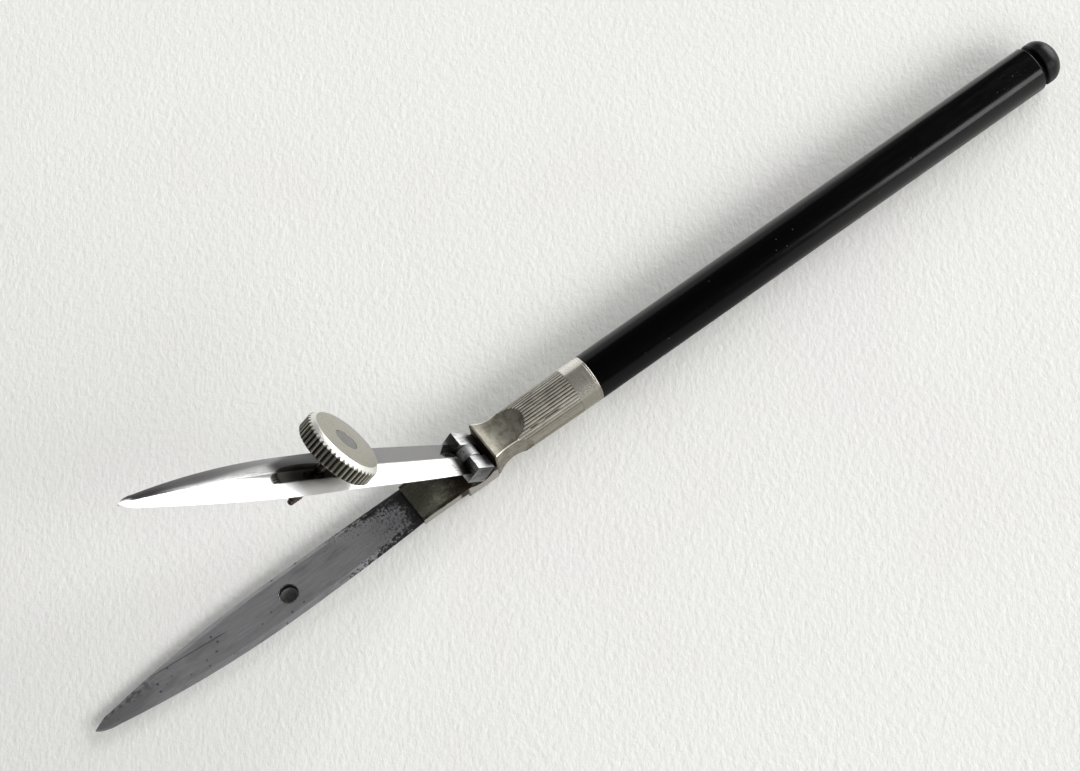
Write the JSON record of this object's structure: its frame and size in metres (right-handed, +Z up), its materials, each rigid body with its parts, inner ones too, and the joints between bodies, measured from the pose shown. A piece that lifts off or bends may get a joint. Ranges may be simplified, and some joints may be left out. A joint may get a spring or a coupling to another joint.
{
  "type": "ruling pen",
  "caption": "Ruling pen with a round black handle, fluted metal grip, leaf-shaped steel blades and a knurled thumb screw; the upper blade swings up on a hinge for cleaning.",
  "frame": {"origin": "on the resting foot under the lower arm, straight below the hinge axis", "axes": "+X along the pen towards the end knob, +Y along the hinge axis, +Z up from the table"},
  "size_m": [0.1441, 0.0098, 0.0424],
  "materials": {
    "black_handle": "glossy black hard rubber",
    "nickel_silver": "satin nickel silver, a little tarnished",
    "dull_steel": "dull grey steel with old pitting",
    "polished_steel": "mirror polished"
  },
  "bodies": {
    "holder": {"handle": "black_handle", "end_knob": "black_handle", "collar_band": "nickel_silver", "grip": "nickel_silver", "tang": "dull_steel", "lower_arm": "nickel_silver", "lower_blade": "dull_steel", "centre_knuckle": "dull_steel"},
    "swing_blade": {"upper_blade": "polished_steel", "hinge_pin": "polished_steel"},
    "thumb_screw": {"screw_spindle": "dull_steel", "thumb_disc": "nickel_silver"}
  },
  "joints": [
    {"name": "blade_hinge", "type": "hinge", "parent": "holder", "child": "swing_blade", "pos_m": [0, 0, 0.00436], "axis": [0, 1, 0], "range_deg": [-48.5, 40]},
    {"name": "screw_turn", "type": "hinge", "parent": "swing_blade", "child": "thumb_screw", "pos_m": [-0.01712, 0, 0.02318], "axis": [0.8755, 0, 0.4833], "continuous": true}
  ]
}
